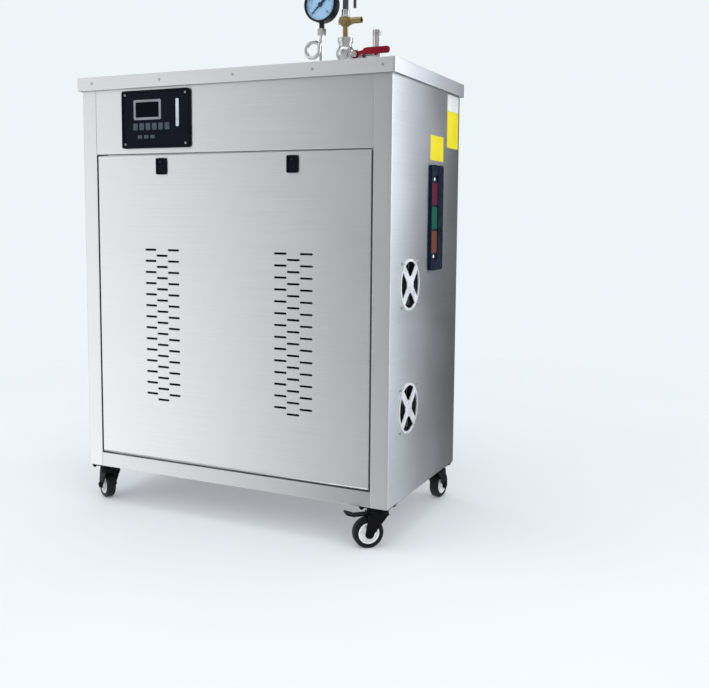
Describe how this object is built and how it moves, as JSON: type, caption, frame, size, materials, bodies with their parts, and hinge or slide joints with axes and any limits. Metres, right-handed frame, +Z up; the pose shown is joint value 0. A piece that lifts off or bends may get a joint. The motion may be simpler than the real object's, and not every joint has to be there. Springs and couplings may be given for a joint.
{
  "type": "mobile steam boiler",
  "caption": "Brushed steel boiler cabinet on swivel casters, with control panel, vented front panel, side fans, level window, pressure gauge, safety valve and lever steam valve.",
  "frame": {"origin": "on the floor under the centre of the cabinet", "axes": "+Z up, -Y towards the front with the control panel, +X towards the side with the fans"},
  "size_m": [0.9484, 0.5355, 1.392],
  "materials": {
    "cabinet_steel": "brushed stainless sheet with an upright and level grain",
    "black_plastic": "fine moulded texture",
    "frame_grey": "satin",
    "display_glass": "glossy",
    "key_rubber": "soft satin",
    "light_white": "diffusing",
    "guard_steel": "polished",
    "window_navy": "glossy",
    "scale_print": "printed zones",
    "gauge_black": "satin black",
    "dial_face": "satin pale blue",
    "fitting_steel": "polished stainless",
    "valve_brass": "turned brass",
    "bonnet_dark": "dark satin",
    "lever_red": "dipped vinyl",
    "caster_black": "black coated pressed steel",
    "hub_grey": "pale moulded hub",
    "tyre_black": "moulded rubber"
  },
  "bodies": {
    "cabinet": {"base_tray": "cabinet_steel", "left_side_panel": "cabinet_steel", "right_side_panel": "cabinet_steel", "back_panel": "cabinet_steel", "lid": "cabinet_steel", "control_fascia": "cabinet_steel", "front_panel": "cabinet_steel", "control_bezel": "black_plastic", "left_latch": "black_plastic", "right_latch": "black_plastic", "upper_fan_frame": "black_plastic", "lower_fan_frame": "black_plastic", "display_frame": "frame_grey", "display_screen": "display_glass", "function_keys": "key_rubber", "status_light": "light_white", "upper_fan_guard": "guard_steel", "lower_fan_guard": "guard_steel", "level_window": "window_navy", "level_scale": "scale_print", "gauge_case": "gauge_black", "gauge_dial": "dial_face", "gauge_siphon": "fitting_steel", "steam_tee": "fitting_steel", "steam_valve": "fitting_steel", "steam_outlet": "fitting_steel", "rear_connections": "fitting_steel", "safety_valve": "valve_brass", "safety_valve_bonnet": "bonnet_dark", "caster_plates": "caster_black"},
    "front_left_swivel": {"front_left_fork": "caster_black"},
    "front_left_wheel": {"front_left_hub": "hub_grey", "front_left_tyre": "tyre_black"},
    "front_right_swivel": {"front_right_fork": "caster_black"},
    "front_right_wheel": {"front_right_hub": "hub_grey", "front_right_tyre": "tyre_black"},
    "rear_left_swivel": {"rear_left_fork": "caster_black"},
    "rear_left_wheel": {"rear_left_hub": "hub_grey", "rear_left_tyre": "tyre_black"},
    "rear_right_swivel": {"rear_right_fork": "caster_black"},
    "rear_right_wheel": {"rear_right_hub": "hub_grey", "rear_right_tyre": "tyre_black"},
    "upper_fan_wheel": {"upper_fan_rotor": "black_plastic"},
    "lower_fan_wheel": {"lower_fan_rotor": "black_plastic"},
    "valve_lever": {"steam_valve_lever": "lever_red"}
  },
  "joints": [
    {"name": "front_left_swivel_turn", "type": "hinge", "parent": "cabinet", "child": "front_left_swivel", "pos_m": [-0.41, -0.204, 0.09], "axis": [0, 0, 1], "continuous": true},
    {"name": "front_left_wheel_spin", "type": "hinge", "parent": "front_left_swivel", "child": "front_left_wheel", "pos_m": [-0.43143, -0.19112, 0.0375], "axis": [-0.515, -0.8572, 0], "continuous": true},
    {"name": "front_right_swivel_turn", "type": "hinge", "parent": "cabinet", "child": "front_right_swivel", "pos_m": [0.41, -0.204, 0.09], "axis": [0, 0, 1], "continuous": true},
    {"name": "front_right_wheel_spin", "type": "hinge", "parent": "front_right_swivel", "child": "front_right_wheel", "pos_m": [0.39085, -0.22007, 0.0375], "axis": [0.6428, -0.766, 0], "continuous": true},
    {"name": "rear_left_swivel_turn", "type": "hinge", "parent": "cabinet", "child": "rear_left_swivel", "pos_m": [-0.41, 0.204, 0.09], "axis": [0, 0, 1], "continuous": true},
    {"name": "rear_left_wheel_spin", "type": "hinge", "parent": "rear_left_swivel", "child": "rear_left_wheel", "pos_m": [-0.41605, 0.22826, 0.0375], "axis": [-0.9703, -0.2419, 0], "continuous": true},
    {"name": "rear_right_swivel_turn", "type": "hinge", "parent": "cabinet", "child": "rear_right_swivel", "pos_m": [0.41, 0.204, 0.09], "axis": [0, 0, 1], "continuous": true},
    {"name": "rear_right_wheel_spin", "type": "hinge", "parent": "rear_right_swivel", "child": "rear_right_wheel", "pos_m": [0.41218, 0.2289, 0.0375], "axis": [-0.9962, 0.0872, 0], "continuous": true},
    {"name": "upper_fan_spin", "type": "hinge", "parent": "cabinet", "child": "upper_fan_wheel", "pos_m": [0.43, -0.115, 0.634], "axis": [1, 0, 0], "continuous": true},
    {"name": "lower_fan_spin", "type": "hinge", "parent": "cabinet", "child": "lower_fan_wheel", "pos_m": [0.43, -0.115, 0.328], "axis": [1, 0, 0], "continuous": true},
    {"name": "steam_valve_turn", "type": "hinge", "parent": "cabinet", "child": "valve_lever", "pos_m": [0.261, -0.036, 1.209], "axis": [0, -1, 0], "range_deg": [0, 90]}
  ]
}
